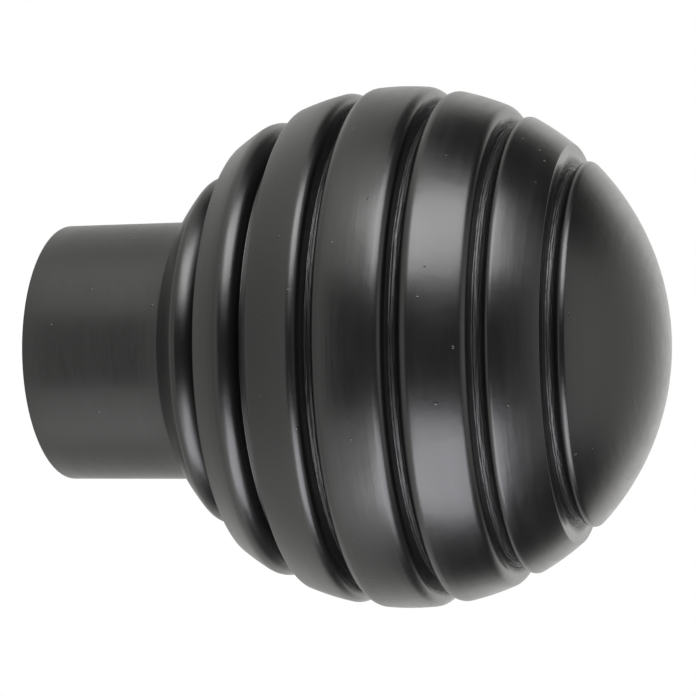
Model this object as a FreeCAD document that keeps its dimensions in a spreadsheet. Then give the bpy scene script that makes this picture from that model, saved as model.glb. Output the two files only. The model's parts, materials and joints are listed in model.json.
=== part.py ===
import FreeCAD, Part
import math
import os
import Sketcher

# Ribbed ball finial for the end of a round curtain pole, turned from one piece of metal.
# A plain collar slips over the pole end and runs into a ball with six turned grooves.
#
# Frame: +X runs along the pole axis from the collar's mouth to the ball's tip, +Z is up,
# and the origin is the centre of the mouth. Lengths are millimetres, angles are degrees.

Vector = FreeCAD.Vector
SAME_PLACE = 0.01

DRIVING_SIZES = [
    # Ball and collar
    ("BallDiameter", 65.0, "across the ribs, at the middle of the ball"),
    ("BallReach", 45.5, "from the mouth of the collar to the ball's centre"),
    ("CollarWall", 2.35, "round the socket"),
    ("NeckFillet", 0.35, "inside corner where the collar meets the ball"),
    ("MouthEdgeBreak", 0.3, "outer edge of the mouth"),
    # Socket for the pole
    ("PoleDiameter", 28.0, "the pole that the finial is made for"),
    ("PoleClearance", 0.4, "added to the pole's diameter for a slip fit"),
    ("SocketDepth", 25.0, "from the mouth to the flat bottom of the socket"),
    ("SocketLeadIn", 0.4, "chamfer that guides the pole into the mouth"),
    # Grooves, counted from the tip and spaced by angle about the ball's centre
    ("GrooveCount", 6, "number of grooves"),
    ("FirstGrooveAngle", 47.4, "from the axis at the tip to the first groove"),
    ("GroovePitchAngle", 16.4, "from one groove to the next"),
    ("GrooveWidth", 1.7, "between the walls of a groove"),
    ("GrooveDepth", 2.5, "from the ball's surface to the groove's round bottom"),
    ("CrispShoulder", 0.4, "rounding of a rib's sharp edge"),
    ("EasedShoulder", 1.2, "rounding of a rib's eased edge"),
    ("SoftShoulder", 2.0, "rounding of a rib's soft edge"),
]

# The ribs' edges that aren't crisp, as (groove, side). Groove 1 is nearest the tip.
EASED_EDGES = {(1, "tip"), (2, "collar"), (3, "tip"), (3, "collar"), (4, "tip"), (4, "collar")}
SOFT_EDGES = {(5, "collar"), (6, "collar")}


def make_sheet(doc):
    """The driving sizes, one named cell each."""
    sheet = doc.addObject("Spreadsheet::Sheet", "Sizes")
    for row, (alias, value, meaning) in enumerate(DRIVING_SIZES, start=1):
        sheet.set(f"A{row}", alias)
        sheet.set(f"B{row}", str(value))
        sheet.set(f"C{row}", meaning)
        sheet.setAlias(f"B{row}", alias)
    doc.recompute()
    return sheet


def new_sketch(body, name, plane_role):
    """A sketch on one of the body's own origin planes."""
    plane = next(item for item in body.Origin.OriginFeatures if item.Role == plane_role)
    sketch = body.newObject("Sketcher::SketchObject", name)
    sketch.AttachmentSupport = [(plane, "")]
    sketch.MapMode = "FlatFace"
    return sketch


def driven(sketch, kind, references, value, expression):
    """A dimension of the sketch, bound to an expression of the driving sizes."""
    index = sketch.addConstraint(Sketcher.Constraint(kind, *references, value))
    sketch.setExpression(f"Constraints[{index}]", expression)


def line(sketch, start, end):
    return sketch.addGeometry(Part.LineSegment(Vector(*start, 0), Vector(*end, 0)), False)


def arc(sketch, centre, radius, start_angle, end_angle):
    """An arc drawn anticlockwise from the start angle to the end angle, in radians."""
    circle = Part.Circle(Vector(*centre, 0), Vector(0, 0, 1), radius)
    return sketch.addGeometry(Part.ArcOfCircle(circle, start_angle, end_angle), False)


def direction(start, end):
    """The angle of the line from one point to another."""
    return math.atan2(end[1] - start[1], end[0] - start[0])


def socket_radius(sheet):
    return (sheet.PoleDiameter + sheet.PoleClearance) / 2


def collar_radius(sheet):
    return socket_radius(sheet) + sheet.CollarWall


def shoulder_size(number, side):
    """The driving size that rounds the rib's edge on one side of a groove."""
    if (number, side) in SOFT_EDGES:
        return "SoftShoulder"
    if (number, side) in EASED_EDGES:
        return "EasedShoulder"
    return "CrispShoulder"


def make_blank(body, sheet):
    """The turned blank: a collar and a ball, as one outline revolved about the pole axis."""
    ball_radius = sheet.BallDiameter / 2
    outside = collar_radius(sheet)
    neck_angle = math.pi - math.asin(outside / ball_radius)
    neck = sheet.BallReach + ball_radius * math.cos(neck_angle)
    tip = sheet.BallReach + ball_radius

    sketch = new_sketch(body, "BlankOutline", "XZ_Plane")
    axis = line(sketch, (0, 0), (tip, 0))
    ball = arc(sketch, (sheet.BallReach, 0), ball_radius, 0, neck_angle)
    collar = line(sketch, (neck, outside), (0, outside))
    mouth = line(sketch, (0, outside), (0, 0))

    join = [(axis, 2, ball, 1), (ball, 2, collar, 1), (collar, 2, mouth, 1), (mouth, 2, axis, 1)]
    for ends in join:
        sketch.addConstraint(Sketcher.Constraint("Coincident", *ends))
    sketch.addConstraint(Sketcher.Constraint("Coincident", axis, 1, -1, 1))
    sketch.addConstraint(Sketcher.Constraint("Horizontal", axis))
    sketch.addConstraint(Sketcher.Constraint("Horizontal", collar))
    sketch.addConstraint(Sketcher.Constraint("Vertical", mouth))
    sketch.addConstraint(Sketcher.Constraint("PointOnObject", ball, 3, -1))
    driven(sketch, "DistanceX", (-1, 1, ball, 3), sheet.BallReach, "Sizes.BallReach")
    driven(sketch, "Radius", (ball,), ball_radius, "Sizes.BallDiameter / 2")
    driven(sketch, "DistanceY", (-1, 1, mouth, 1), outside,
           "(Sizes.PoleDiameter + Sizes.PoleClearance) / 2 + Sizes.CollarWall")

    blank = body.newObject("PartDesign::Revolution", "Blank")
    blank.Profile = sketch
    blank.ReferenceAxis = (sketch, ["H_Axis"])
    blank.Angle = 360
    return blank


class GrooveSection:
    """Half a groove's section, drawn to the right of the groove's centre line.

    The bottom is a half circle between two straight walls, square to the pole axis. A
    shoulder arc rounds the rib's edge and runs tangent into the ball. Where a soft
    shoulder is so large that it would pass the wall, it runs straight into the bottom.
    """

    def __init__(self, ball_centre, ball_radius, bottom_centre, bottom_radius, side, shoulder):
        self.side = side
        self.shoulder = shoulder
        self.ball_centre = ball_centre
        self.bottom_centre = bottom_centre
        reach = ball_radius - shoulder
        wall = bottom_centre[0] + side * bottom_radius
        across = wall + side * shoulder - ball_centre[0]
        height = math.sqrt(reach ** 2 - across ** 2)
        self.has_wall = height > bottom_centre[1]
        if self.has_wall:
            self.centre = (ball_centre[0] + across, height)
            self.foot = (wall, height)
            self.bottom_end = (wall, bottom_centre[1])
        else:
            self.centre = self.meet_bottom(reach, shoulder + bottom_radius)
            turn = direction(bottom_centre, self.centre)
            self.foot = (bottom_centre[0] + bottom_radius * math.cos(turn),
                         bottom_centre[1] + bottom_radius * math.sin(turn))
            self.bottom_end = self.foot
        outward = direction(ball_centre, self.centre)
        self.rim = (ball_centre[0] + ball_radius * math.cos(outward),
                    ball_radius * math.sin(outward))

    def meet_bottom(self, from_ball, from_bottom):
        """The shoulder's centre, at known distances from the ball's and the bottom's centres."""
        gap = math.dist(self.ball_centre, self.bottom_centre)
        cosine = (from_ball ** 2 + gap ** 2 - from_bottom ** 2) / (2 * from_ball * gap)
        turn = direction(self.ball_centre, self.bottom_centre) - self.side * math.acos(cosine)
        return (self.ball_centre[0] + from_ball * math.cos(turn), from_ball * math.sin(turn))

    def draw(self, sketch, top):
        """Adds the shoulder, the wall if there is one and the line up from the rim."""
        foot_angle = direction(self.centre, self.foot)
        rim_angle = direction(self.centre, self.rim)
        ends = (rim_angle, foot_angle) if self.side > 0 else (foot_angle, rim_angle)
        if ends[1] < ends[0]:
            ends = (ends[0], ends[1] + 2 * math.pi)
        self.arc = arc(sketch, self.centre, self.shoulder, *ends)
        self.rim_end, self.foot_end = (1, 2) if self.side > 0 else (2, 1)
        self.wall = line(sketch, self.bottom_end, self.foot) if self.has_wall else None
        self.riser = line(sketch, self.rim, (self.rim[0], top))


def make_groove(body, sheet, number):
    """One groove: its section, closed above the ball, revolved about the pole axis."""
    angle_words = f"(Sizes.FirstGrooveAngle + {number - 1} * Sizes.GroovePitchAngle)"
    angle = math.radians(sheet.FirstGrooveAngle + (number - 1) * sheet.GroovePitchAngle)
    ball_radius = sheet.BallDiameter / 2
    bottom_radius = sheet.GrooveWidth / 2
    ball_centre = (sheet.BallReach, 0)
    bottom_centre = (sheet.BallReach + ball_radius * math.cos(angle),
                     ball_radius * math.sin(angle) - sheet.GrooveDepth + bottom_radius)
    top = ball_radius + sheet.GrooveDepth

    sketch = new_sketch(body, f"GrooveSection{number}", "XZ_Plane")
    halves = []
    for side, name in ((-1, "collar"), (1, "tip")):
        alias = shoulder_size(number, name)
        shoulder = getattr(sheet, alias)
        half = GrooveSection(ball_centre, ball_radius, bottom_centre, bottom_radius, side, shoulder)
        half.draw(sketch, top)
        half.alias = alias
        halves.append(half)
    left, right = halves

    start = direction(bottom_centre, left.bottom_end)
    end = direction(bottom_centre, right.bottom_end)
    bottom = arc(sketch, bottom_centre, bottom_radius, start % (2 * math.pi), end % (2 * math.pi))
    lid = line(sketch, (left.rim[0], top), (right.rim[0], top))
    ball = sketch.addGeometry(Part.Circle(Vector(*ball_centre, 0), Vector(0, 0, 1), ball_radius), True)

    for half, bottom_end, lid_end in ((left, 1, 1), (right, 2, 2)):
        if half.has_wall:
            sketch.addConstraint(Sketcher.Constraint("Vertical", half.wall))
            sketch.addConstraint(Sketcher.Constraint("Tangent", bottom, bottom_end, half.wall, 1))
            sketch.addConstraint(Sketcher.Constraint("Tangent", half.wall, 2, half.arc, half.foot_end))
        else:
            sketch.addConstraint(
                Sketcher.Constraint("Tangent", bottom, bottom_end, half.arc, half.foot_end))
        sketch.addConstraint(Sketcher.Constraint("Tangent", half.arc, half.rim_end, ball))
        sketch.addConstraint(Sketcher.Constraint("Coincident", half.arc, half.rim_end, half.riser, 1))
        sketch.addConstraint(Sketcher.Constraint("Vertical", half.riser))
        sketch.addConstraint(Sketcher.Constraint("Coincident", half.riser, 2, lid, lid_end))
        driven(sketch, "Radius", (half.arc,), half.shoulder, f"Sizes.{half.alias}")
    sketch.addConstraint(Sketcher.Constraint("Horizontal", lid))
    sketch.addConstraint(Sketcher.Constraint("PointOnObject", ball, 3, -1))

    height = "Sizes.BallDiameter / 2 * sin({0} * 1 deg) - Sizes.GrooveDepth + Sizes.GrooveWidth / 2"
    driven(sketch, "DistanceX", (-1, 1, ball, 3), sheet.BallReach, "Sizes.BallReach")
    driven(sketch, "Radius", (ball,), ball_radius, "Sizes.BallDiameter / 2")
    driven(sketch, "DistanceX", (-1, 1, bottom, 3), bottom_centre[0],
           f"Sizes.BallReach + Sizes.BallDiameter / 2 * cos({angle_words} * 1 deg)")
    driven(sketch, "DistanceY", (-1, 1, bottom, 3), bottom_centre[1], height.format(angle_words))
    driven(sketch, "Radius", (bottom,), bottom_radius, "Sizes.GrooveWidth / 2")
    driven(sketch, "DistanceY", (-1, 1, lid, 1), top, "Sizes.BallDiameter / 2 + Sizes.GrooveDepth")

    groove = body.newObject("PartDesign::Groove", f"Groove{number}")
    groove.Profile = sketch
    groove.ReferenceAxis = (sketch, ["H_Axis"])
    groove.Angle = 360
    return groove


def make_socket(body, sheet):
    """The blind socket that slips over the pole end."""
    radius = socket_radius(sheet)
    sketch = new_sketch(body, "SocketCircle", "YZ_Plane")
    circle = sketch.addGeometry(Part.Circle(Vector(), Vector(0, 0, 1), radius), False)
    sketch.addConstraint(Sketcher.Constraint("Coincident", circle, 3, -1, 1))
    driven(sketch, "Radius", (circle,), radius, "(Sizes.PoleDiameter + Sizes.PoleClearance) / 2")

    socket = body.newObject("PartDesign::Pocket", "Socket")
    socket.Profile = sketch
    socket.setExpression("Length", "Sizes.SocketDepth")
    socket.Reversed = True
    return socket


def ring_edge(feature, place, radius):
    """The name of the circular edge about the pole axis at a given place and radius."""
    for number, edge in enumerate(feature.Shape.Edges, start=1):
        if edge.Degenerated or not isinstance(edge.Curve, Part.Circle):
            continue
        curve = edge.Curve
        if abs(curve.Center.x - place) < SAME_PLACE and abs(curve.Radius - radius) < SAME_PLACE:
            return f"Edge{number}"
    raise RuntimeError(f"no edge of radius {radius} at x = {place}")


def finish_edge(body, base, kind, name, place, radius, alias):
    """A fillet or chamfer on one circular edge, its size bound to a driving size."""
    feature = body.newObject(f"PartDesign::{kind}", name)
    feature.Base = (base, [ring_edge(base, place, radius)])
    feature.setExpression("Size" if kind == "Chamfer" else "Radius", f"Sizes.{alias}")
    body.Document.recompute()
    return feature


def make_finial(doc, sheet):
    body = doc.addObject("PartDesign::Body", "Finial")
    body.Label = "finial"
    blank = make_blank(body, sheet)
    doc.recompute()

    neck = sheet.BallReach - math.sqrt((sheet.BallDiameter / 2) ** 2 - collar_radius(sheet) ** 2)
    finish_edge(body, blank, "Fillet", "Neck", neck, collar_radius(sheet), "NeckFillet")

    for number in range(1, int(sheet.GrooveCount) + 1):
        before = body.Tip.Shape.Volume
        groove = make_groove(body, sheet, number)
        doc.recompute()
        removed = before - groove.Shape.Volume
        print(f"groove {number}: {removed:.1f} mm3 turned away, sketch ends {groove.Profile[0].solve()}")
        if removed < 1:
            raise RuntimeError(f"groove {number} cuts nothing")

    before = body.Tip.Shape.Volume
    socket = make_socket(body, sheet)
    doc.recompute()
    if before - socket.Shape.Volume < 1:
        raise RuntimeError("the socket cuts nothing")

    lead_in = finish_edge(body, socket, "Chamfer", "LeadIn", 0, socket_radius(sheet), "SocketLeadIn")
    finish_edge(body, lead_in, "Chamfer", "MouthEdge", 0, collar_radius(sheet), "MouthEdgeBreak")
    return body


def check_document(doc):
    """Stops the run if any object failed or any body is not one valid solid."""
    for item in doc.Objects:
        if "Invalid" in item.State or "Error" in item.State:
            raise RuntimeError(f"{item.Name} is {item.State}")
    for body in doc.findObjects("PartDesign::Body"):
        shape = body.Shape
        if shape.isNull() or not shape.isValid() or len(shape.Solids) != 1:
            raise RuntimeError(f"{body.Label} is not one valid solid")


def write_parts(doc):
    os.makedirs("parts", exist_ok=True)
    for body in doc.findObjects("PartDesign::Body"):
        box = body.Shape.BoundBox
        print(f"{body.Label}: {body.Shape.Volume:.1f} mm3, x {box.XMin:.2f} to {box.XMax:.2f},"
              f" z {box.ZMin:.2f} to {box.ZMax:.2f}, {len(body.Shape.Faces)} faces")
        body.Shape.exportStep(f"parts/{body.Label}.step")


document = FreeCAD.newDocument("Finial")
sizes = make_sheet(document)
make_finial(document, sizes)
document.recompute()
check_document(document)
write_parts(document)
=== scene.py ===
# %% [markdown]
# A ribbed ball finial for a curtain pole.
#
# The real thing is one piece of metal, turned on a lathe and lacquered satin black: a plain
# collar that slips over the pole end, a ball with six turned grooves and a plain dome at the
# tip. Everything on it is round about one axis, so this lesson draws half of its outline
# once and spins it, which is what the lathe does. Then it finishes the skin and lights it.

# %% Load the frame
import json
import math

import bpy
from mathutils import Matrix, Vector


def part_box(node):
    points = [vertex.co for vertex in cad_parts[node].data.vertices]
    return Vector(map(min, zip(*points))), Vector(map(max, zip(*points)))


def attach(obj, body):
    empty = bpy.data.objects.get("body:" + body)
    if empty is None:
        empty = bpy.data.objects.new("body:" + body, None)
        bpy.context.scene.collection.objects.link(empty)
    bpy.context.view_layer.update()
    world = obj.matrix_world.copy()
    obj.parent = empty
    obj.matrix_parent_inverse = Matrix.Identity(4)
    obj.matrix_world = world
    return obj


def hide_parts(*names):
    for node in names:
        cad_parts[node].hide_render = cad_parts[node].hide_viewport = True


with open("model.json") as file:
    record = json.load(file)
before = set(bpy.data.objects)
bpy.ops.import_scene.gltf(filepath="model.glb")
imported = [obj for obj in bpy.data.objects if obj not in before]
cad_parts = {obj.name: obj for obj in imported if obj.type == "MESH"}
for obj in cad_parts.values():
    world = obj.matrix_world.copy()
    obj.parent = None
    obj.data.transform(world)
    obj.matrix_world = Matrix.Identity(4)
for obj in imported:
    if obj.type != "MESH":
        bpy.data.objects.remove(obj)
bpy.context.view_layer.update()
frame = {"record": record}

# %% [markdown]
# The sizes come from the frame. The pole axis is X, the mouth of the collar is at x = 0, and
# the ball's tip is the far end of the box. The socket's radius is the one that the mount
# states. The other sizes are the finial's own, in metres and degrees.

# %% Sizes
MM = 0.001

low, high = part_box("finial")
TIP = high.x
BALL_RADIUS = min(-low.y, high.y, -low.z, high.z)
BALL_CENTRE = TIP - BALL_RADIUS

COLLAR_RADIUS = 0.01655
MOUTH_BREAK = 0.0003

socket_mount = frame["record"]["mounts"][0]
SOCKET_RADIUS = socket_mount["dims"]["r_mm"] * MM
SOCKET_LEAD_IN = 0.0004
SOCKET_DEPTH = socket_mount["dims"]["length_mm"] * MM + SOCKET_LEAD_IN

print(f"ball {2 * BALL_RADIUS / MM:.1f} mm across, {TIP / MM:.1f} mm long")

# %% [markdown]
# The outline is drawn in the XZ plane the way a pen would draw it. It starts as one point on
# the axis, at the ball's tip, and ends on the axis again, at the bottom of the socket. A
# straight run is an extrude of the last point, and an arc is a spin of it about the arc's
# centre. Each call leaves the new end point selected, ready for the next one. A curve object
# could draw the line too, but its bends are only nearly round, and every point here lies on a
# true arc.

# %% The pen
SHORT_ARC_STEP = math.radians(13)
LONG_ARC_STEP = math.radians(2)


class Pen:
    """Draws an edge chain in edit mode. Points are (x, radius) pairs in the XZ plane."""

    def __init__(self, point):
        self.point = point

    def line_to(self, point, parts=1):
        step = ((point[0] - self.point[0]) / parts, 0, (point[1] - self.point[1]) / parts)
        for _ in range(parts):
            bpy.ops.mesh.extrude_region_move(TRANSFORM_OT_translate={"value": step})
        self.point = point

    def arc_to(self, point, centre, step=SHORT_ARC_STEP):
        """An arc about the centre, the short way round."""
        start = math.atan2(self.point[1] - centre[1], self.point[0] - centre[0])
        end = math.atan2(point[1] - centre[1], point[0] - centre[0])
        turn = (end - start + math.pi) % (2 * math.pi) - math.pi
        steps = max(2, math.ceil(abs(turn) / step))
        bpy.ops.mesh.spin(steps=steps, angle=turn, center=(centre[0], 0, centre[1]),
                          axis=(0, 1, 0), use_auto_merge=False)
        self.point = point


print(f"short arcs have a point every {math.degrees(SHORT_ARC_STEP):.0f} degrees, "
      f"long ones every {math.degrees(LONG_ARC_STEP):.0f}")

# %% [markdown]
# The lines and arcs of a turned outline run into each other smoothly, so each arc's centre
# and ends follow from its neighbours. They could be dragged into place by eye, but a join
# that is out by a hair shows as a crease in black lacquer. These three sums find them.

# %% Points, directions and touching circles
BALL = (BALL_CENTRE, 0.0)


def polar(centre, radius, angle):
    """The point at a distance and an angle from the centre."""
    return (centre[0] + radius * math.cos(angle), centre[1] + radius * math.sin(angle))


def heading(start, end):
    """The angle of the way from one point to another."""
    return math.atan2(end[1] - start[1], end[0] - start[0])


def tangent_centre(first, reach, second, span, turn_side):
    """The point at given distances from two others, on one side of the line between them."""
    gap = math.dist(first, second)
    cosine = (reach ** 2 + gap ** 2 - span ** 2) / (2 * reach * gap)
    return polar(first, reach, heading(first, second) + turn_side * math.acos(cosine))


print(f"the ball's centre is at x = {BALL_CENTRE / MM:.1f} mm")

# %% [markdown]
# Each groove is square to the pole axis, as a narrow tool plunged in from the side leaves it:
# two walls and a floor. Each rib's edge is rounded by a shoulder arc that touches the ball
# from inside and then the wall, and a hollow arc in the corner joins the wall and the floor.
# A large shoulder would pass the wall, so it runs straight into the corner's arc instead. A
# Bevel modifier could round the edges too, but it is held back where a shoulder is larger
# than its wall.

# %% A rib's edge
TIP_SIDE, COLLAR_SIDE = 1, -1


def rib_edge(wall, side, shoulder, corner, floor, rib_radius):
    """The points and centres of the way from a rib down to the floor of the groove beside it."""
    reach = rib_radius - shoulder
    corner_centre = (wall - side * corner, floor + corner)
    across = wall + side * shoulder - BALL_CENTRE
    height = math.sqrt(reach ** 2 - across ** 2)
    if height > corner_centre[1]:
        centre = (BALL_CENTRE + across, height)
        foot, wall_end = (wall, height), (wall, corner_centre[1])
    else:
        centre = tangent_centre(BALL, reach, corner_centre, shoulder + corner, -side)
        foot = wall_end = polar(corner_centre, corner, heading(corner_centre, centre))
    rim = polar(BALL, rib_radius, heading(BALL, centre))
    return {"rim": rim, "centre": centre, "foot": foot, "wall_end": wall_end,
            "corner_centre": corner_centre, "floor_end": (corner_centre[0], floor)}


print(f"the ribs follow a ball of {BALL_RADIUS / MM:.2f} mm radius")

# %% [markdown]
# The grooves of the real thing were cut by hand and differ a little, so each has its own
# sizes. A loop with one even pitch would be shorter, and would look like another finial. In
# each, the corner at the tip's side is well rounded and the other is nearly sharp, as a tool
# with one worn edge cuts them.

# %% The first five grooves, from the tip
# Tip wall, collar wall, tip shoulder, collar shoulder, depth and tip corner, in millimetres.
# The walls are measured from the ball's centre, towards the tip.
GROOVES = [
    (22.55, 21.35, 0.8, 0.2, 2.7, 0.75),
    (15.65, 14.05, 0.7, 1.5, 2.1, 1.15),
    (6.40, 5.05, 1.25, 1.45, 2.9, 0.85),
    (-3.40, -4.95, 1.4, 1.15, 3.4, 0.6),
    (-11.60, -13.50, 0.45, 1.9, 3.2, 1.0),
]
COLLAR_CORNER = 0.00012
# How far the dome and each rib stand above the ball, from the tip to the rib before the bead.
RIB_RISE = [0, 0, 0, 0, 0, 0.00028]

edges = []
for number, sizes in enumerate(GROOVES):
    tip_wall, collar_wall, tip_shoulder, collar_shoulder, depth, tip_corner = (
        size * MM for size in sizes)
    middle = (tip_wall + collar_wall) / 2
    floor = math.sqrt(BALL_RADIUS ** 2 - middle ** 2) - depth
    before, after = (BALL_RADIUS + rise for rise in RIB_RISE[number:number + 2])
    tip_edge = rib_edge(BALL_CENTRE + tip_wall, TIP_SIDE, tip_shoulder, tip_corner, floor, before)
    collar_edge = rib_edge(BALL_CENTRE + collar_wall, COLLAR_SIDE, collar_shoulder,
                           COLLAR_CORNER, floor, after)
    edges.append((tip_edge, collar_edge))
    print(f"groove {number + 1}: {(tip_wall - collar_wall) / MM:.2f} mm wide, "
          f"floor {floor / MM:.1f} mm from the axis")

# %% [markdown]
# The last rib, next to the collar, is a bead. The groove before it has a wall on the tip's
# side only. On the other side the bead rolls into the groove, first round its shoulder and
# from just past the top in one long arc, the flank, which ends on the groove's floor. Each of
# these circles touches the one before.

# %% The sixth groove and the bead's flank
# Places are measured from the ball's centre, towards the tip, and angles from straight up.
WALL_PLACE = -0.01935
WALL_SHOULDER = 0.00045
WALL_CORNER = 0.0006
BEAD_RISE = -0.00005
BEAD_EDGE = -0.02205
BEAD_SHOULDER = 0.0011
FLANK_RADIUS = 0.0034
FLANK_LEAN, FLANK_TURN = math.radians(6), math.radians(50)

bead_radius = BALL_RADIUS + BEAD_RISE
shoulder_across = BEAD_EDGE - BEAD_SHOULDER
shoulder_height = math.sqrt((bead_radius - BEAD_SHOULDER) ** 2 - shoulder_across ** 2)
shoulder_centre = (BALL_CENTRE + shoulder_across, shoulder_height)
bead_rim = polar(BALL, bead_radius, heading(BALL, shoulder_centre))
flank_start = polar(shoulder_centre, BEAD_SHOULDER, math.pi / 2 - FLANK_LEAN)
flank_centre = polar(flank_start, -FLANK_RADIUS, math.pi / 2 - FLANK_LEAN)
flank_end = polar(flank_centre, FLANK_RADIUS, math.pi / 2 - FLANK_TURN)
wall_before_bead = rib_edge(BALL_CENTRE + WALL_PLACE, TIP_SIDE, WALL_SHOULDER, WALL_CORNER,
                            flank_end[1], BALL_RADIUS + RIB_RISE[-1])
print(f"flank from {flank_start[1] / MM:.1f} mm down to {flank_end[1] / MM:.1f} mm from the axis")

# %% [markdown]
# On the collar's side the bead follows the ball and then rolls over faster, in a smaller arc
# that touches the ball's, down to the collar. A small hollow fillet joins the two, because no
# turning tool cuts a perfectly sharp inside corner.

# %% The bead and the neck
BEAD_ROLL = 0.008
NECK_TO_CENTRE = 0.02755
NECK_FILLET = 0.0004

neck = (BALL_CENTRE - NECK_TO_CENTRE, COLLAR_RADIUS)
roll_centre = tangent_centre(BALL, bead_radius - BEAD_ROLL, neck, BEAD_ROLL, -1)
roll_start = polar(BALL, bead_radius, heading(BALL, roll_centre))
fillet_height = COLLAR_RADIUS + NECK_FILLET
fillet_reach = math.sqrt((BEAD_ROLL + NECK_FILLET) ** 2 - (fillet_height - roll_centre[1]) ** 2)
fillet_centre = (roll_centre[0] - fillet_reach, fillet_height)
roll_end = polar(roll_centre, BEAD_ROLL, heading(roll_centre, fillet_centre))
fillet_end = (fillet_centre[0], COLLAR_RADIUS)
print(f"bead rolls over from x = {roll_start[0] / MM:.2f} mm to the collar at {fillet_end[0] / MM:.2f} mm")

# %% [markdown]
# Four of the grooves have a thin bright line along the floor. The tool cut them in two passes
# and left a low crest between these, near the collar's side. A bump could fake it seen from
# straight ahead, but the crest is a shape of its own, so it is drawn too, in three small arcs.

# %% A crest on a groove's floor
CREST_PLACE = 0.0004
CREST_SLOPE = math.radians(22)
CREST_ROUND = 0.00015
PASS_ROUND = 0.00025
CREST_RISE = (CREST_ROUND + PASS_ROUND) * (1 - math.cos(CREST_SLOPE))


def cross_floor(pen, end):
    """From the tip's side of a groove's floor to its end at the collar's side, over the crest."""
    start, floor = pen.point
    half = (CREST_ROUND + PASS_ROUND) * math.sin(CREST_SLOPE)
    crest = min(end[0] + CREST_PLACE, start - half)
    crest_centre = (crest, floor + CREST_RISE - CREST_ROUND)
    tip_pass, collar_pass = ((crest + side * half, floor + PASS_ROUND) for side in (TIP_SIDE, COLLAR_SIDE))
    pen.line_to((tip_pass[0], floor))
    pen.arc_to(polar(tip_pass, PASS_ROUND, -math.pi / 2 - CREST_SLOPE), tip_pass)
    pen.arc_to(polar(collar_pass, PASS_ROUND, -math.pi / 2 + CREST_SLOPE), crest_centre)
    pen.arc_to((collar_pass[0], floor), collar_pass)
    pen.line_to(end)


print(f"crests {CREST_RISE / MM:.3f} mm high")

# %% [markdown]
# Now the pen draws. The first point is a plane merged to its middle, which is the shortest
# way to one selected point. From there the pen follows the dome, goes down into each groove
# and comes up out of it again.

# %% Draw the dome and the first five grooves
START_SIZE = 0.01
CRESTED_GROOVES = 4


def down_into(pen, edge):
    """Along the ball to a rib's edge, over its shoulder and down to the groove's floor."""
    pen.arc_to(edge["rim"], BALL, LONG_ARC_STEP)
    pen.arc_to(edge["foot"], edge["centre"])
    if edge["wall_end"] != edge["foot"]:
        pen.line_to(edge["wall_end"])
    pen.arc_to(edge["floor_end"], edge["corner_centre"])


def up_out_of(pen, edge):
    """From a groove's floor up to the top of the next rib."""
    pen.arc_to(edge["wall_end"], edge["corner_centre"])
    if edge["wall_end"] != edge["foot"]:
        pen.line_to(edge["foot"])
    pen.arc_to(edge["rim"], edge["centre"])


bpy.ops.object.select_all(action="DESELECT")
bpy.ops.mesh.primitive_plane_add(size=START_SIZE, location=(TIP, 0, 0))
finial = bpy.context.object
finial.name = finial.data.name = "turned_finial"
bpy.ops.object.transform_apply(location=True, rotation=True, scale=True)
bpy.ops.object.mode_set(mode="EDIT")
bpy.ops.mesh.select_all(action="SELECT")
bpy.ops.mesh.merge(type="CENTER")

pen = Pen((TIP, 0.0))
for number, (tip_edge, collar_edge) in enumerate(edges):
    down_into(pen, tip_edge)
    if number < CRESTED_GROOVES:
        cross_floor(pen, collar_edge["floor_end"])
    else:
        pen.line_to(collar_edge["floor_end"])
    up_out_of(pen, collar_edge)
print(f"drawn as far as x = {pen.point[0] / MM:.2f} mm")

# %% [markdown]
# The rest of the outline is the last rib, the bead, the collar, its mouth and the socket. The
# mouth's outer edge is slightly rounded and its inner edge is a small chamfer, the lead-in.
# Long straight runs are divided, so that the faces turned from them aren't quite so thin.

# %% Draw the bead, the collar and the socket
COLLAR_PARTS = 6
SOCKET_PARTS = 4

down_into(pen, wall_before_bead)
pen.line_to(flank_end)
pen.arc_to(flank_start, flank_centre, LONG_ARC_STEP)
pen.arc_to(bead_rim, shoulder_centre)
pen.arc_to(roll_start, BALL, LONG_ARC_STEP)
pen.arc_to(roll_end, roll_centre, LONG_ARC_STEP)
pen.arc_to(fillet_end, fillet_centre)
pen.line_to((MOUTH_BREAK, COLLAR_RADIUS), COLLAR_PARTS)
pen.arc_to((0.0, COLLAR_RADIUS - MOUTH_BREAK), (MOUTH_BREAK, COLLAR_RADIUS - MOUTH_BREAK))
pen.line_to((0.0, SOCKET_RADIUS + SOCKET_LEAD_IN))
pen.line_to((SOCKET_LEAD_IN, SOCKET_RADIUS))
pen.line_to((SOCKET_DEPTH, SOCKET_RADIUS), SOCKET_PARTS)
pen.line_to((SOCKET_DEPTH, 0.0), SOCKET_PARTS)
bpy.ops.object.mode_set(mode="OBJECT")
print(f"outline of {len(finial.data.vertices)} points")

# %% [markdown]
# The lathe turns the blank, and here a Screw modifier turns the outline about the pole axis.
# It does what Spin does, but in one go and much faster on a long outline. The first and last
# copies are merged, the two ends on the axis become single points, and the faces are made to
# point outwards. Faces that meet at more than 30 degrees keep a sharp edge.

# %% Turn it
TURN_STEPS = 256
SAME_POINT = 0.000001
SHARP = math.radians(30)

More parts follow.
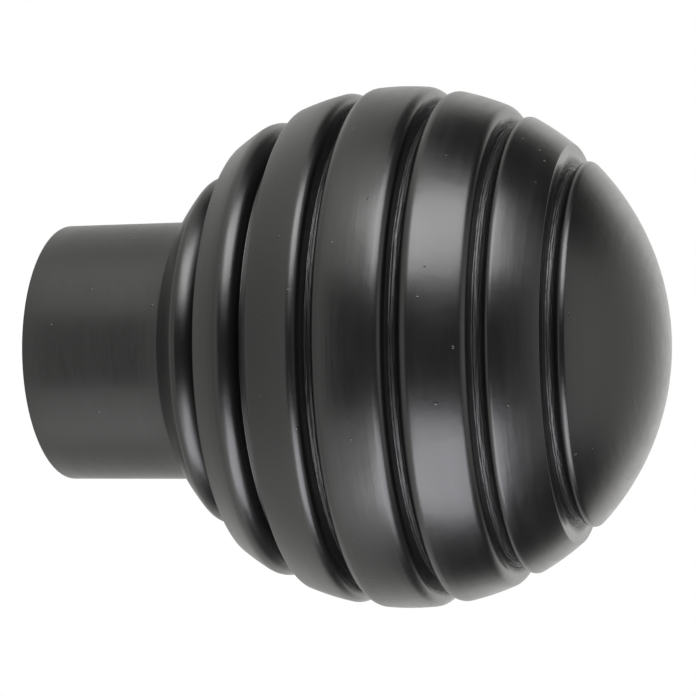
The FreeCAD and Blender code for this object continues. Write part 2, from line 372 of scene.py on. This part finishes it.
bpy.ops.object.modifier_add(type="SCREW")
turning = finial.modifiers[-1]
turning.axis = "X"
turning.angle = 2 * math.pi
turning.steps = turning.render_steps = TURN_STEPS
turning.use_merge_vertices = True
turning.merge_threshold = SAME_POINT
bpy.ops.object.modifier_apply(modifier=turning.name)
bpy.ops.object.mode_set(mode="EDIT")
bpy.ops.mesh.select_all(action="SELECT")
bpy.ops.mesh.remove_doubles(threshold=SAME_POINT)
bpy.ops.mesh.normals_make_consistent(inside=False)
bpy.ops.object.mode_set(mode="OBJECT")
bpy.ops.object.shade_smooth_by_angle(angle=SHARP)
finial.data.calc_loop_triangles()
print(f"turned finial: {len(finial.data.loop_triangles)} triangles")
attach(finial, "root")
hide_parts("finial")

# %% [markdown]
# The finish is made of nodes. They could be placed by hand in the node editor, and in code
# each takes a line or two once a small helper does the part that repeats. The helper serves
# the lacquer and later the studio as well.

# %% A helper for nodes


class Wiring:
    """Adds nodes to one node tree and joins them up. A value is a constant or a node's output."""

    def __init__(self, tree):
        self.tree = tree

    def join(self, value, socket):
        if isinstance(value, bpy.types.NodeSocket):
            self.tree.links.new(value, socket)
        else:
            socket.default_value = value

    def add(self, kind, values=(), **settings):
        """A node; values go to its inputs by name, and settings to the node itself."""
        node = self.tree.nodes.new("ShaderNode" + kind)
        for name, setting in settings.items():
            setattr(node, name, setting)
        for name, value in dict(values).items():
            self.join(value, node.inputs[name])
        return node

    def math(self, operation, *values):
        node = self.add("Math", operation=operation)
        for socket, value in zip(node.inputs, values):
            self.join(value, socket)
        return node.outputs[0]

    def plus(self, first, second):
        return self.math("ADD", first, second)

    def times(self, first, second):
        return self.math("MULTIPLY", first, second)

    def less(self, level, shade):
        """The level with a share of it taken away."""
        return self.times(level, self.math("SUBTRACT", 1, shade))

    def blend(self, first, second, share):
        """The first value where the share is 0, the second where it is 1."""
        return self.plus(self.less(first, share), self.times(second, share))

    def fades(self, value, start, end, low=0.0, high=1.0):
        """A smooth change from low to high while the value goes from start to end."""
        node = self.add("MapRange", {"Value": value, "From Min": start, "From Max": end,
                                     "To Min": low, "To Max": high}, interpolation_type="SMOOTHSTEP")
        return node.outputs["Result"]

    def measure(self, operation, first, second):
        """A number that two vectors give, such as their distance."""
        node = self.add("VectorMath", operation=operation)
        self.join(first, node.inputs[0])
        self.join(second, node.inputs[1])
        return node.outputs["Value"]


print("the helper can", ", ".join(name for name in vars(Wiring) if not name.startswith("_")))

# %% [markdown]
# The coat is a thin black lacquer, satin rather than gloss. Almost all that the eye sees of
# it is its soft reflection of what stands round it, so the colour is close to none and the
# roughness matters most. It is paint and not bare metal, so Metallic stays at 0. Every
# pattern in it is placed by the finial's own coordinates.

# %% The lacquer
LACQUER_BLACK = (0.001, 0.001, 0.001, 1)
LACQUER_IOR = 1.5

black = bpy.data.materials.new("satin_black_lacquer")
black.use_nodes = True
shader = black.node_tree.nodes["Principled BSDF"]
shader.inputs["Base Color"].default_value = LACQUER_BLACK
shader.inputs["IOR"].default_value = LACQUER_IOR
finial.data.materials.append(black)

lacquer = Wiring(black.node_tree)
place = lacquer.add("TexCoord").outputs["Object"]
along_pole, across, upright = lacquer.add("SeparateXYZ", {"Vector": place}).outputs
from_pole = lacquer.math("SQRT", lacquer.plus(lacquer.times(across, across),
                                              lacquer.times(upright, upright)))
print(f"lacquer {black.name}: IOR {LACQUER_IOR}")

# %% [markdown]
# Turning leaves lines that run round the piece. A noise drawn out round the axis gives them:
# it changes fast from ring to ring and slowly along each ring. The place round the axis goes
# in as a unit vector, so that the pattern closes on itself with no seam, and the distance
# from the axis is the noise's fourth dimension, so that steep walls get lines too.

# %% Turning lines
USUAL_RADIUS = 0.02
FINE_HEIGHT = 0.000006
BROAD_HEIGHT = 0.00002


def turned_noise(pitch, length, detail=2.0):
    """Lines round the axis, a pitch apart and about a length long."""
    round_turns = USUAL_RADIUS / length
    rings = {"X": lacquer.math("DIVIDE", along_pole, pitch)}
    for axis, part in (("Y", across), ("Z", upright)):
        rings[axis] = lacquer.times(lacquer.math("DIVIDE", part, from_pole), round_turns)
    noise = lacquer.add("TexNoise", {"Vector": lacquer.add("CombineXYZ", rings).outputs["Vector"],
                                     "W": lacquer.math("DIVIDE", from_pole, pitch),
                                     "Scale": 1.0, "Detail": detail}, noise_dimensions="4D")
    return noise.outputs["Fac"]


fine_lines = turned_noise(pitch=0.00045, length=0.005)
broad_lines = turned_noise(pitch=0.0012, length=0.008)
skin_height = lacquer.plus(lacquer.times(fine_lines, FINE_HEIGHT),
                           lacquer.times(broad_lines, BROAD_HEIGHT))
print(f"turning lines up to {1e6 * BROAD_HEIGHT:.0f} micrometres high")

# %% [markdown]
# The floors of the grooves are where the tool chattered and no cloth could polish. They are
# rougher, and short marks break up their shine. The two grooves nearest the collar came out
# clean. The mask needs no paint: a point is in a marked groove when it lies below the ball's
# own surface and far enough towards the tip.

# %% Tool marks in the grooves
MARK_HEIGHT = 0.00018
# How far below the ball's surface the marks begin and are full.
MARKS_BEGIN, MARKS_FULL = 0.0009, 0.0016
# Where the clean part ends and the marked part starts, from the ball's centre to the tip.
CLEAN_END, MARKED_START = -0.0100, -0.0090

from_centre = lacquer.measure("DISTANCE", place, (BALL_CENTRE, 0, 0))
below_ball = lacquer.fades(from_centre, BALL_RADIUS - MARKS_BEGIN, BALL_RADIUS - MARKS_FULL)
tipwards = lacquer.fades(along_pole, BALL_CENTRE + CLEAN_END, BALL_CENTRE + MARKED_START)
in_groove = lacquer.times(below_ball, tipwards)
tool_marks = turned_noise(pitch=0.0003, length=0.0025, detail=3.0)
marks = lacquer.times(lacquer.times(tool_marks, in_groove), MARK_HEIGHT)
skin_height = lacquer.plus(skin_height, marks)
print(f"tool marks up to {1e6 * MARK_HEIGHT:.0f} micrometres high")

# %% [markdown]
# Sprayed lacquer is never quite level. It dries with a faint orange peel, which a soft noise
# gives, and here and there it buries a speck of dust, a nib. A Voronoi cell's middle makes a
# good nib: only the few middles that happen to lie in the surface show.

# %% Orange peel and nibs
PEEL_SIZE = 0.0016
PEEL_HEIGHT = 0.000014
NIB_SPACING = 0.0028
NIB_RADIUS = 0.0002
NIB_TOP = 0.00004
NIB_HEIGHT = 0.00005

peel = lacquer.add("TexNoise", {"Vector": place, "Scale": 1 / PEEL_SIZE, "Detail": 2.0}).outputs["Fac"]
dust = lacquer.add("TexVoronoi", {"Vector": place, "Scale": 1 / NIB_SPACING}).outputs["Distance"]
nibs = lacquer.fades(dust, NIB_RADIUS / NIB_SPACING, NIB_TOP / NIB_SPACING)
skin_height = lacquer.plus(skin_height, lacquer.times(peel, PEEL_HEIGHT))
skin_height = lacquer.plus(skin_height, lacquer.times(nibs, NIB_HEIGHT))
skin = lacquer.add("Bump", {"Distance": 1.0, "Height": skin_height})
lacquer.join(skin.outputs["Normal"], shader.inputs["Normal"])
print(f"nibs about {2 * NIB_RADIUS / MM:.2f} mm across")

# %% [markdown]
# The sheen varies too. Patches where the coat is thicker are a little glossier, the broad
# lines carry some of the difference, and the marked grooves are duller. One even roughness
# would look like moulded plastic.

# %% Sheen
ROUGHNESS = 0.3
ROUGHNESS_CHANGE = 0.015
GROOVE_DULLING = 0.16
PATCH_SIZE = 0.007
# A noise rarely goes beyond these values.
NOISE_LOW, NOISE_HIGH = 0.3, 0.7

patches = lacquer.add("TexNoise", {"Vector": place, "Scale": 1 / PATCH_SIZE, "Detail": 3.0}).outputs["Fac"]
roughness = lacquer.plus(ROUGHNESS, lacquer.times(in_groove, GROOVE_DULLING))
for noise in (patches, broad_lines):
    change = lacquer.fades(noise, NOISE_LOW, NOISE_HIGH, -ROUGHNESS_CHANGE, ROUGHNESS_CHANGE)
    roughness = lacquer.plus(roughness, change)
lacquer.join(roughness, shader.inputs["Roughness"])
print(f"roughness about {ROUGHNESS:.2f}, and {ROUGHNESS + GROOVE_DULLING:.2f} in the marked grooves")

# %% [markdown]
# The camera stands level with the pole, a little to the tip's side, and is turned back
# towards the ball. Its place is given in ball radii, so it would follow if the size changed.
# The focal length is given in pixels of the photograph and turned into millimetres here.

# %% Camera
BALL_SPOT = Vector((BALL_CENTRE, 0, 0))
CAMERA_SPOT = BALL_SPOT + BALL_RADIUS * Vector((2.16687, -8.23836, 0.0))
YAW = math.radians(-16.35015)
ROLL = math.radians(-0.91455)
FOCAL_PIXELS = 2206.66
PHOTO_PIXELS = 696
SENSOR_WIDTH = 36

scene = bpy.context.scene
scene.view_settings.view_transform = "Standard"
forward = Vector((math.sin(YAW), math.cos(YAW), 0))
level = forward.cross(Vector((0, 0, 1))).normalized()
rise = level.cross(forward)
right = math.cos(ROLL) * level + math.sin(ROLL) * rise
up = -math.sin(ROLL) * level + math.cos(ROLL) * rise
lens = bpy.data.cameras.new("camera")
camera = bpy.data.objects.new("camera", lens)
scene.collection.objects.link(camera)
camera.matrix_world = Matrix((right, up, -forward)).transposed().to_4x4()
camera.location = CAMERA_SPOT
lens.sensor_width = SENSOR_WIDTH
lens.lens = SENSOR_WIDTH * FOCAL_PIXELS / PHOTO_PIXELS
scene.camera = camera
print(f"camera {CAMERA_SPOT.length / MM:.0f} mm from the mouth, lens {lens.lens:.0f} mm")

# %% [markdown]
# Black lacquer shows its surroundings, so the studio is a tent of white cloth all round the
# finial. It could be a sheet of mesh, but the metal would show its edges, so the tent is the
# world's own colour. Directions in it are given as the photographer sees them, along the
# picture's right, its up and back towards the camera.

# %% The white tent
world = bpy.data.worlds.new("white_tent")
scene.world = world
world.use_nodes = True
world.cycles.sampling_method = "NONE"
tent = Wiring(world.node_tree)
looking = tent.add("TexCoord").outputs["Generated"]


def from_camera(direction):
    """A direction given along the picture's right, its up and towards the camera."""
    return (direction[0] * right + direction[1] * up - direction[2] * forward).normalized()


def along(direction):
    """How far a look goes along a direction: 1 straight at it, 0 square to it."""
    return tent.measure("DOT_PRODUCT", looking, from_camera(direction))


sideways, upwards, backwards = along((1, 0, 0)), along((0, 1, 0)), along((0, 0, 1))
print(f"world {world.name}, where the picture's right is {[round(v, 2) for v in right]}")

# %% [markdown]
# The cloth isn't equally bright all round, because the lamps stand outside it in a few places
# only. One colour ramp holds the brightness from left to right of the half towards the
# camera, and another that of the half behind the finial. The two halves fade into each other.

# %% The cloth
TENT_LEVEL = 0.86
# Places go from -1 at the picture's left to 1 at its right; each has the brightness there.
FRONT_CLOTH = [(-1, 0.88), (-0.8, 1.36), (-0.55, 1.87), (-0.2, 2.6),
               (0.15, 0.3), (0.6, 0.3), (0.8, 1.1), (1, 1.6)]
BACK_CLOTH = [(-1, 1.06), (-0.8, 1.24), (-0.5, 1.33), (-0.3, 1.2), (-0.13, 0.9),
              (0.1, 1.4), (0.55, 1.85), (0.82, 0.96), (1, 0.88)]
HALVES_FADE = 0.25


def cloth(stops):
    """The brightness of one half of the tent, from its (place, brightness) stops."""
    brightest = max(brightness for _, brightness in stops)
    ramp = tent.add("ValToRGB", {"Fac": tent.times(tent.plus(sideways, 1), 0.5)})
    elements = ramp.color_ramp.elements
    while len(elements) < len(stops):
        elements.new(0.5)
    for element, (spot, brightness) in zip(elements, stops):
        grey = brightness / brightest
        element.position = (spot + 1) / 2
        element.color = (grey, grey, grey, 1)
    return tent.times(ramp.outputs["Color"], TENT_LEVEL * brightest)


nearer = tent.fades(backwards, -HALVES_FADE, HALVES_FADE)
tent_light = tent.blend(cloth(BACK_CLOTH), cloth(FRONT_CLOTH), nearer)
print(f"cloth with {len(FRONT_CLOTH)} stops in front and {len(BACK_CLOTH)} behind")

# %% [markdown]
# The front of the tent has an opening for the camera, which makes the dark middle of the
# ball. Behind on the right are two dark flags, one high and one low, which set off the ball's
# bright rim from the light of the soft boxes. Behind on the left is a third, which draws a
# dark line along the collar's mouth. All of them have soft edges, as things out of focus do.

# %% The opening and the flags
OPENING_SHADE = 0.95
# Each side of the opening is a pair: where its edge begins, and where it is fully dark.
OPENING_LEFT, OPENING_RIGHT = (-0.69, -0.53), (0.80, 0.64)
OPENING_HALF_HEIGHT = (0.56, 0.40)
OPENING_DEPTH = (0.15, 0.35)
FLAG_SHADE = 0.95
# The direction of each flag, and how many degrees from it the edge begins and is fully dark.
FLAGS = [
    ((0.50, 0.84, -0.22), 39, 22),
    ((0.50, -0.84, -0.22), 39, 22),
    ((-0.62, 0, -0.78), 28, 14),
]

opening = OPENING_SHADE
sides = ((sideways, OPENING_LEFT), (sideways, OPENING_RIGHT),
         (tent.math("ABSOLUTE", upwards), OPENING_HALF_HEIGHT), (backwards, OPENING_DEPTH))
for value, edge in sides:
    opening = tent.times(opening, tent.fades(value, *edge))
tent_light = tent.less(tent_light, opening)
for direction, begins, full in FLAGS:
    edge = (math.cos(math.radians(angle)) for angle in (begins, full))
    tent_light = tent.less(tent_light, tent.fades(along(direction), *edge, 0, FLAG_SHADE))
print(f"an opening of {len(sides)} soft sides, and {len(FLAGS)} flags")

# %% [markdown]
# The camera itself sees plain white behind the finial. Rays that come off glossy or clear
# things see the tent as it is, and rays that come off matt ones see an even white cloth, so
# that the opening doesn't darken the floor.

# %% What each ray sees
PLAIN_LEVEL = 0.8
TENT_WHITE = (1.0, 0.995, 0.972, 1)
PURE_WHITE = (1, 1, 1, 1)
# A Mix node has sockets for each kind of value, and these are the colours' among them.
SHARE_IN, FIRST_IN, SECOND_IN, COLOUR_OUT = 0, 6, 7, 2

rays = tent.add("LightPath").outputs
camera_ray = rays["Is Camera Ray"]
mirrored = tent.math("MAXIMUM", rays["Is Glossy Ray"], rays["Is Transmission Ray"])
strength = tent.blend(tent.blend(PLAIN_LEVEL, tent_light, mirrored), 1, camera_ray)
colour = tent.add("Mix", data_type="RGBA")
tent.join(camera_ray, colour.inputs[SHARE_IN])
tent.join(TENT_WHITE, colour.inputs[FIRST_IN])
tent.join(PURE_WHITE, colour.inputs[SECOND_IN])
backdrop = world.node_tree.nodes["Background"]
tent.join(colour.outputs[COLOUR_OUT], backdrop.inputs["Color"])
tent.join(strength, backdrop.inputs["Strength"])
print(f"tent of {len(world.node_tree.nodes)} nodes, plain level {PLAIN_LEVEL}")

# %% [markdown]
# Two soft boxes light the ribs from above and from below, each with a brighter middle, as a
# lamp behind cloth has. A lamp's power is worked out from how bright its face should look,
# so its size can change and the reflection stays as bright.

# %% Soft boxes
BOX_DISTANCE = 0.8
ABOVE = (0.17, 0.762, 0.62)
BELOW = (0.194, -0.789, 0.58)
LAMP_WHITE = (1.0, 0.99, 0.99)
LAMP_COOL = (0.952, 0.942, 1.0)


def soft_box(name, direction, tint, half_width, half_height, face_level):
    """A lamp that faces the ball; its half sizes are given as shares of its distance."""
    data = bpy.data.lights.new(name, "AREA")
    data.shape = "RECTANGLE"
    data.size = 2 * half_width * BOX_DISTANCE
    data.size_y = 2 * half_height * BOX_DISTANCE
    data.energy = face_level * math.pi * data.size * data.size_y
    data.color = tint
    lamp = bpy.data.objects.new(name, data)
    scene.collection.objects.link(lamp)
    facing = from_camera(direction)
    across_box = up.cross(facing).normalized()
    lamp.matrix_world = Matrix((across_box, facing.cross(across_box), facing)).transposed().to_4x4()
    lamp.location = BALL_SPOT + BOX_DISTANCE * facing
    lamp.visible_camera = False
    print(f"{name}: {data.size:.2f} by {data.size_y:.2f} m, {data.energy:.1f} W")


soft_box("upper_box", ABOVE, LAMP_WHITE, half_width=0.48, half_height=0.34, face_level=6.8)
soft_box("upper_centre", ABOVE, LAMP_WHITE, half_width=0.1, half_height=0.36, face_level=14.0)
soft_box("lower_box", BELOW, LAMP_COOL, half_width=0.41, half_height=0.42, face_level=5.9)
soft_box("lower_centre", BELOW, LAMP_COOL, half_width=0.28, half_height=0.2, face_level=14.0)

# %% [markdown]
# Under the finial lies a light table, the pale sheet that product photographers use: lamps
# below shine up through it. So this floor lets the lower soft boxes through and stays out of
# the reflections, where the tent is what shows.

# %% The floor
FLOOR_HEIGHT = -0.2
FLOOR_SIZE = 40

bpy.ops.object.select_all(action="DESELECT")
bpy.ops.mesh.primitive_plane_add(size=FLOOR_SIZE, location=(BALL_CENTRE, 0, FLOOR_HEIGHT))
table = bpy.context.object
table.name = table.data.name = "light_table"
bpy.ops.object.transform_apply(location=True, rotation=True, scale=True)
table.visible_glossy = False
table.visible_shadow = False
print(f"floor {-FLOOR_HEIGHT / MM:.0f} mm under the pole's axis")

# %% [markdown]
# Near the finial the floor is a pale matt surface that takes the soft shadow. Further out it
# fades into the tent's plain white, so that no horizon shows.

# %% The floor's colour
FLOOR_WHITE = (0.62, 0.62, 0.62, 1)
POOL_START, POOL_END = 0.15, 0.7

pale = bpy.data.materials.new("pale_floor")
pale.use_nodes = True
table.data.materials.append(pale)
sheet = Wiring(pale.node_tree)
from_finial = sheet.measure("DISTANCE", sheet.add("TexCoord").outputs["Object"],
                            (BALL_CENTRE, 0, FLOOR_HEIGHT))
matt = sheet.add("BsdfDiffuse", {"Color": FLOOR_WHITE})
white = sheet.add("Emission", {"Color": PURE_WHITE, "Strength": 1.0})
both = sheet.add("MixShader", {"Fac": sheet.fades(from_finial, POOL_START, POOL_END)})
sheet.join(matt.outputs[0], both.inputs[1])
sheet.join(white.outputs[0], both.inputs[2])
sheet.join(both.outputs[0], pale.node_tree.nodes["Material Output"].inputs["Surface"])
print(f"matt within {POOL_START} m of the finial, white from {POOL_END} m")

# %% [markdown]
# The turned finial has to stay inside the solid's box.
